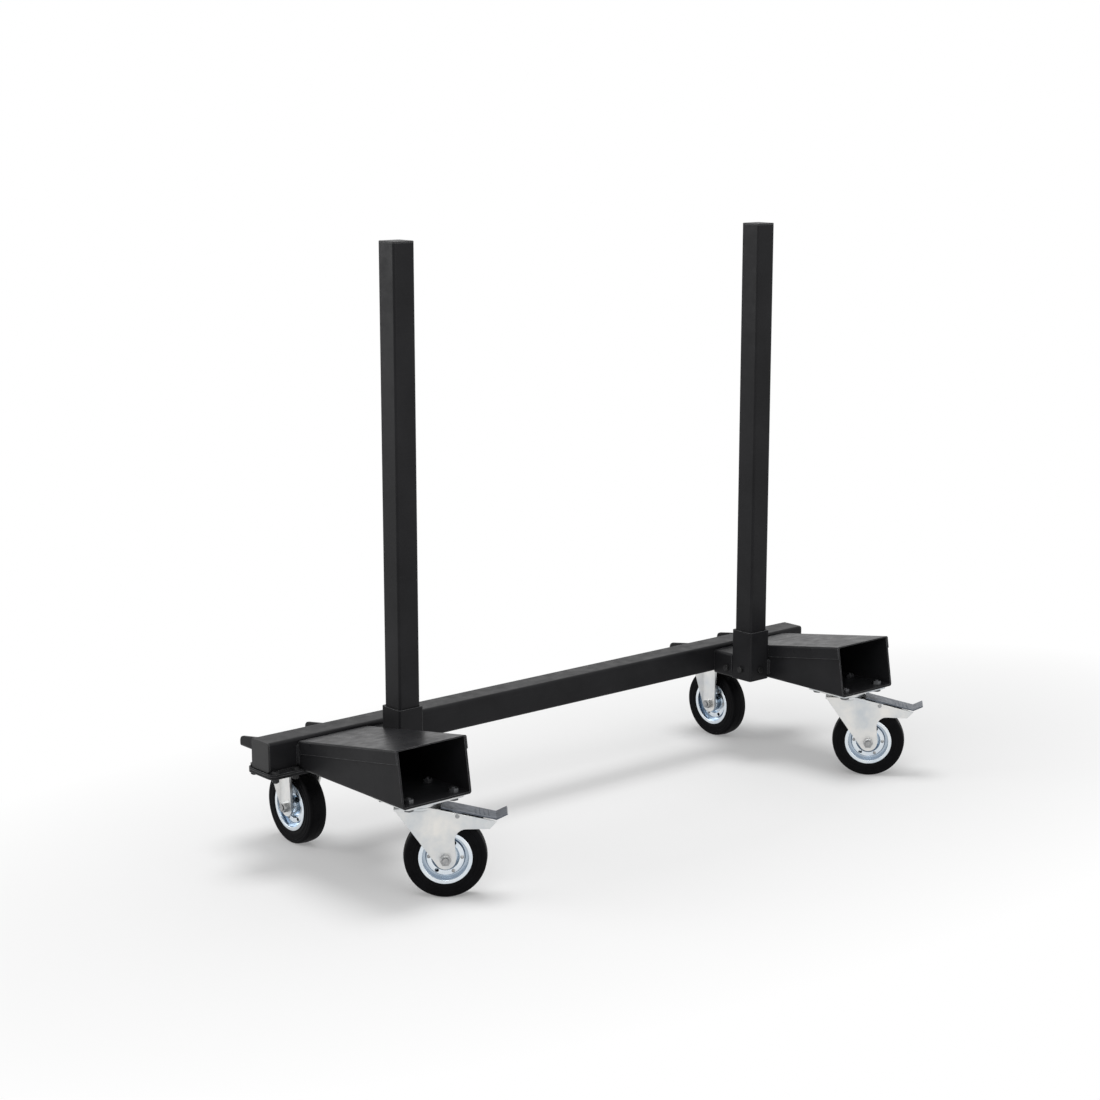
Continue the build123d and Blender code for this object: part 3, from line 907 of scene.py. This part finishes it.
@dataclass
class RimRivets:
    """Domed rivet heads that close both halves of a rim, between its two holes."""

    pitch: float = 0.0315
    disc: float = 0.0110
    radius: float = 0.0036
    height: float = 0.0019
    brim: float = 0.0004
    sunk: float = 0.0002
    dome_turns: tuple[float, ...] = (12.0, 26.0, 42.0, 58.0, 74.0)
    hole_turn: float = 58.0
    spokes: tuple[float, ...] = (60.0, 120.0, 240.0, 300.0)
    segments: int = 20

    def flank(self) -> Ring:
        """Outline of one head, from its foot to its top.

        Returns:
            Pairs of radius and height above the disc.
        """
        rise = self.height - self.brim
        points: Ring = [(self.radius, -self.sunk), (self.radius, self.brim)]
        for turn in map(math.radians, self.dome_turns):
            points.append((self.radius * math.cos(turn), self.brim + rise * math.sin(turn)))
        return points

    def build(self, side: Side, row: Row, finishes: Finishes) -> bpy.types.Object:
        """Make the rivets of one wheel.

        Args:
            side: Which end of the trolley.
            row: Front or rear castor.
            finishes: Materials of the trolley.

        Returns:
            All heads of the wheel as one piece.
        """
        stem = f"{side.word}_{row.value}"
        wheel = wheel_matrix(side, row)
        flank = self.flank()
        vertices: list[Vector] = []
        faces: list[Face] = []
        for face in (1.0, -1.0):
            for spoke in self.spokes:
                turn = math.radians(self.hole_turn + spoke)
                spoke_way = Vector((math.cos(turn), 0.0, math.sin(turn)))
                middle = spoke_way * self.pitch + Vector((0.0, face * self.disc, 0.0))
                faces += capped_bands(len(vertices), len(flank), self.segments)
                for radius, height in flank:
                    for x, z in circle(radius, self.segments):
                        vertices.append(wheel @ (middle + Vector((x, face * height, z))))
        piece = new_piece(f"{stem}_rim_rivets", vertices, faces)
        finishes.dress(piece, "zinc_steel")
        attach(piece, f"{stem}_wheel")
        return piece


@dataclass
class PedalGrip:
    """Raised cross ribs that keep the shoe from slipping off the brake pedal.

    The pedal's blade falls evenly from the fork's crown to the end of the fork's arm. Reaches are
    measured from the swivel axis, and heights from the floor.
    """

    crown_top: float = 0.182
    crown_reach: float = 0.021
    arm_drop: float = 0.029
    arm_reach: float = 0.147
    blade_rise: float = 0.002
    blade_sheet: float = 0.003
    half_length: float = 0.017
    half_width: float = 0.0019
    height: float = 0.0014
    sunk: float = 0.0003
    first_reach: float = 0.108
    pitch: float = 0.0085
    count: int = 4
    round_steps: int = 8
    ends: tuple[Pair, ...] = (
        (-1.0, 0.15), (-0.96, 0.7), (-0.88, 1.0), (0.88, 1.0), (0.96, 0.7), (1.0, 0.15),
    )

    def level(self, reach: float) -> float:
        """Find the top of the pedal's blade.

        Args:
            reach: Distance from the swivel axis.

        Returns:
            The height above the floor.
        """
        fall = self.arm_drop / (self.arm_reach - self.crown_reach)
        blade = self.crown_top - (reach - self.crown_reach) * fall + self.blade_rise
        return blade + self.blade_sheet * math.hypot(1.0, fall)

    def build(self, side: Side, finishes: Finishes) -> bpy.types.Object:
        """Make the ribs of one pedal.

        Args:
            side: Which end of the trolley.
            finishes: Materials of the trolley.

        Returns:
            All ribs of the pedal as one piece.
        """
        stem = f"{side.word}_front"
        middle = Vector(joint(f"{stem}_swivel_turn")["pos_m"])
        middle.z = 0.0
        castor = axle_matrix(middle, joint(f"{stem}_wheel_spin")["axis"])
        outline = arc((0.0, 0.0), 1.0, 0.0, 180.0, self.round_steps)
        vertices: list[Vector] = []
        faces: list[Face] = []
        for rib in range(self.count):
            reach = self.first_reach + rib * self.pitch
            faces += capped_bands(len(vertices), len(self.ends), len(outline))
            for along, swell in self.ends:
                for x, z in outline:
                    place = reach + x * self.half_width * swell
                    lift = self.level(place) - self.sunk + z * self.height * swell
                    vertices.append(castor @ Vector((place, along * self.half_length, lift)))
        piece = new_piece(f"{stem}_pedal_ribs", vertices, faces)
        finishes.dress(piece, "pedal_paint")
        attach(piece, f"{stem}_pedal")
        return piece


@dataclass
class WeldSeams:
    """Rippled fillet welds of one foot, painted over with the frame."""

    leg: float = 0.0045
    ripple: float = 0.00028
    pitch: float = 0.0050
    ripple_steps: int = 6
    least_steps: int = 8
    fade_rate: float = 8.0
    fade_least: float = 0.35
    section: tuple[Pair, ...] = (
        (0.0, 1.0), (0.38, 0.78), (0.62, 0.62), (0.78, 0.38), (1.0, 0.0), (-0.25, -0.25),
    )
    above_flange: float = 0.004
    below_deck: float = 0.006
    cover_lip: float = 0.0265
    from_foot: float = 0.004
    from_flange_end: float = 0.008
    under_beam: float = 0.002
    vertices: list[Vector] = field(default_factory=list)
    faces: list[Face] = field(default_factory=list)

    def bead(self, start: Vector, end: Vector, first: Vector, second: Vector) -> None:
        """Add one bead in a corner.

        Args:
            start: Where the bead starts, in the corner.
            end: Where it ends.
            first: Direction away from the corner along one sheet.
            second: Direction away from the corner along the other sheet.
        """
        length = (end - start).length
        steps = max(self.least_steps, int(length / self.pitch) * self.ripple_steps)
        self.faces += capped_bands(len(self.vertices), steps + 1, len(self.section))
        for step in range(steps + 1):
            share = step / steps
            fade = min(1.0, self.fade_rate * min(share, 1.0 - share) + self.fade_least)
            wave = math.sin(2.0 * math.pi * share * length / self.pitch)
            reach = (self.leg + self.ripple * wave) * fade
            middle = start.lerp(end, share)
            self.vertices += [middle + first * reach * a + second * reach * b for a, b in self.section]

    def upright(self, x: float, y: float, bottom: float, top: float,
                first: Vector, second: Vector) -> None:
        """Add one upright bead.

        Args:
            x: Place of the corner along the trolley.
            y: Place of the corner from front to back.
            bottom: Height of its lower end.
            top: Height of its upper end.
            first: Direction away from the corner along one sheet.
            second: Direction away from the corner along the other sheet.
        """
        self.bead(Vector((x, y, bottom)), Vector((x, y, top)), first, second)

    def build(self, side: Side, finishes: Finishes) -> bpy.types.Object:
        """Make the seams between the foot, the beam, its flange and the post's socket.

        Args:
            side: Which end of the trolley.
            finishes: Materials of the trolley.

        Returns:
            All seams of the foot as one piece.
        """
        foot_low, foot_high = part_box(f"{side.word}_foot")
        beam_low, beam_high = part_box("tie_beam")
        flange_low, flange_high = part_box(f"{side.word}_beam_flange")
        socket_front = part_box(f"{side.word}_post_socket")[0][1]
        outward = Vector((side.sign, 0.0, 0.0))
        forward = Vector((0.0, -1.0, 0.0))
        back = Vector((0.0, 1.0, 0.0))
        up = Vector((0.0, 0.0, 1.0))
        outer = side.outer(foot_low[0], foot_high[0])
        inner = side.outer(foot_high[0], foot_low[0])
        bottom = flange_high[2] + self.above_flange
        beam_front, beam_back = beam_low[1], beam_high[1]
        for y, away in ((beam_front, forward), (beam_back, back)):
            self.upright(outer, y, bottom, deck_height(side, y) - self.below_deck, away, outward)
        top = deck_height(side, beam_back) - self.below_deck
        self.upright(inner, beam_back, bottom, top, back, -outward)
        top = deck_height(side, socket_front) - self.cover_lip - self.below_deck
        self.upright(inner, socket_front, bottom, top, forward, -outward)
        near = outer + side.sign * self.from_foot
        far = side.outer(flange_low[0], flange_high[0]) - side.sign * self.from_flange_end
        for y, away in ((beam_front, forward), (beam_back, back)):
            line = y - away.y * self.under_beam
            start = Vector((near, line, flange_high[2]))
            end = Vector((far, line, flange_high[2]))
            self.bead(start, end, away, up)
        piece = new_piece(f"{side.word}_weld_seams", self.vertices, self.faces)
        finishes.dress(piece, "black_paint")
        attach(piece, "frame")
        return piece


@dataclass(frozen=True)
class Lamp:
    """Round soft lamp: its place and width in metres and its power in watts."""

    name: str
    place: Point
    width: float
    power: float


@dataclass
class Studio:
    """Pale floor, soft light and the camera of the photo."""

    camera_from_foot: Point = (-2.9746, -3.0915, 1.4707)
    camera_yaw: float = 40.6
    camera_pitch: float = 11.5
    lens: float = 71.5
    sensor: float = 36.0
    sight: float = 60.0
    floor_half: float = 9.0
    floor_colour: Colour = (0.86, 0.86, 0.86)
    floor_stretch: Point = (0.5, 1.0, 1.0)
    floor_white: Span = Span(0.22, 1.0, 0.36, 0.98)
    world_level: float = 0.29
    lamp_aim: Point = (0.0, 0.0, 0.35)
    lamps: tuple[Lamp, ...] = (
        Lamp("key_lamp", (-2.6, -2.4, 3.4), 2.6, 48.0),
        Lamp("fill_lamp", (0.6, -3.7, 1.3), 2.2, 20.0),
        Lamp("top_lamp", (0.1, 0.1, 3.6), 1.8, 66.0),
        Lamp("side_lamp", (-3.4, 2.9, 1.5), 2.4, 50.0),
    )

    def build(self) -> None:
        """Make world, floor, lamps and camera."""
        scene = bpy.context.scene
        scene.view_settings.view_transform = "Standard"
        self.build_world(scene)
        self.build_floor(scene)
        self.build_lamps(scene)
        self.build_camera(scene)
        LOG.info("studio ready")

    @staticmethod
    def seen_white(tree: bpy.types.NodeTree) -> Socket:
        """Tell the rays that should see a white ground.

        Args:
            tree: Node tree to add to.

        Returns:
            One for camera, glossy and transmission rays, else zero.
        """
        path = tree.nodes.new("ShaderNodeLightPath")
        total: Socket = path.outputs["Is Camera Ray"]
        for name in ("Is Glossy Ray", "Is Transmission Ray"):
            both = tree.nodes.new("ShaderNodeMath")
            both.operation = "MAXIMUM"
            tree.links.new(total, both.inputs[0])
            tree.links.new(path.outputs[name], both.inputs[1])
            total = both.outputs["Value"]
        return total

    def build_world(self, scene: bpy.types.Scene) -> None:
        """Make the white surround that lights softly.

        Args:
            scene: Scene to light.
        """
        world = bpy.data.worlds.new("studio_world")
        scene.world = world
        world.use_nodes = True
        tree = world.node_tree
        tree.nodes.clear()
        mix = tree.nodes.new("ShaderNodeMixShader")
        tree.links.new(self.seen_white(tree), mix.inputs["Fac"])
        for level, socket in ((self.world_level, mix.inputs[1]), (1.0, mix.inputs[2])):
            light = tree.nodes.new("ShaderNodeBackground")
            light.inputs["Color"].default_value = WHITE
            light.inputs["Strength"].default_value = level
            tree.links.new(light.outputs["Background"], socket)
        output = tree.nodes.new("ShaderNodeOutputWorld")
        tree.links.new(mix.outputs["Shader"], output.inputs["Surface"])

    def floor_material(self) -> bpy.types.Material:
        """Make the floor's material: matt with the shadow, whiter further out, and open from below.

        Returns:
            The material.
        """
        graph = Graph("pale_floor")
        length = graph.node("ShaderNodeVectorMath", operation="LENGTH")
        graph.link(graph.stretch(graph.place(), self.floor_stretch), length.inputs[0])
        far = graph.span(length.outputs["Value"], self.floor_white)
        matt = graph.node("ShaderNodeBsdfDiffuse")
        matt.inputs["Color"].default_value = (*self.floor_colour, 1.0)
        glow = graph.node("ShaderNodeEmission")
        glow.inputs["Strength"].default_value = 1.0
        above = graph.node("ShaderNodeMixShader")
        graph.link(graph.math("MULTIPLY", far, self.seen_white(graph.tree)), above.inputs["Fac"])
        graph.link(matt.outputs["BSDF"], above.inputs[1])
        graph.link(glow.outputs["Emission"], above.inputs[2])
        one_way = graph.node("ShaderNodeMixShader")
        graph.link(graph.node("ShaderNodeNewGeometry").outputs["Backfacing"], one_way.inputs["Fac"])
        graph.link(above.outputs["Shader"], one_way.inputs[1])
        graph.link(graph.node("ShaderNodeBsdfTransparent").outputs["BSDF"], one_way.inputs[2])
        output = graph.node("ShaderNodeOutputMaterial")
        graph.link(one_way.outputs["Shader"], output.inputs["Surface"])
        return graph.material

    def build_floor(self, scene: bpy.types.Scene) -> None:
        """Make the floor.

        Args:
            scene: Scene to add it to.
        """
        half = self.floor_half
        corners = [(-half, -half, 0.0), (half, -half, 0.0), (half, half, 0.0), (-half, half, 0.0)]
        mesh = bpy.data.meshes.new("studio_floor")
        mesh.from_pydata(corners, [], [(0, 1, 2, 3)])
        mesh.materials.append(self.floor_material())
        floor = bpy.data.objects.new("studio_floor", mesh)
        scene.collection.objects.link(floor)

    def build_lamps(self, scene: bpy.types.Scene) -> None:
        """Hang the lamps: key from the upper left front, fill, top, and a low one behind on the left.

        Args:
            scene: Scene to light.
        """
        for lamp in self.lamps:
            light = bpy.data.lights.new(lamp.name, "AREA")
            light.shape = "DISK"
            light.size = lamp.width
            light.energy = lamp.power
            holder = bpy.data.objects.new(lamp.name, light)
            holder.location = lamp.place
            aim = Vector(self.lamp_aim) - Vector(lamp.place)
            holder.rotation_euler = aim.to_track_quat("-Z", "Y").to_euler()
            scene.collection.objects.link(holder)

    def build_camera(self, scene: bpy.types.Scene) -> None:
        """Set up the camera fitted to the photo, measured from the front of the feet.

        Args:
            scene: Scene to look at.
        """
        data = bpy.data.cameras.new("photo_camera")
        data.lens = self.lens
        data.sensor_width = self.sensor
        data.sensor_fit = "HORIZONTAL"
        data.clip_end = self.sight
        camera = bpy.data.objects.new("photo_camera", data)
        foot_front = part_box("left_foot")[0][1]
        camera.location = Vector(self.camera_from_foot) + Vector((0.0, foot_front, 0.0))
        tilt = math.radians(90.0 - self.camera_pitch)
        camera.rotation_euler = (tilt, 0.0, -math.radians(self.camera_yaw))
        scene.collection.objects.link(camera)
        scene.camera = camera


def main() -> None:
    """Light the trolley, dress its frame, build the modelled pieces and report each one."""
    Studio().build()
    finishes = Finishes()
    finishes.dress_frame()
    for side in Side:
        pieces = [WeldSeams().build(side, finishes), PedalGrip().build(side, finishes)]
        for row in Row:
            pieces += [Tyre().build(side, row, finishes), RimRivets().build(side, row, finishes)]
        for piece in pieces:
            LOG.info("built %s", piece.name)


if __name__ == "__main__":
    main()
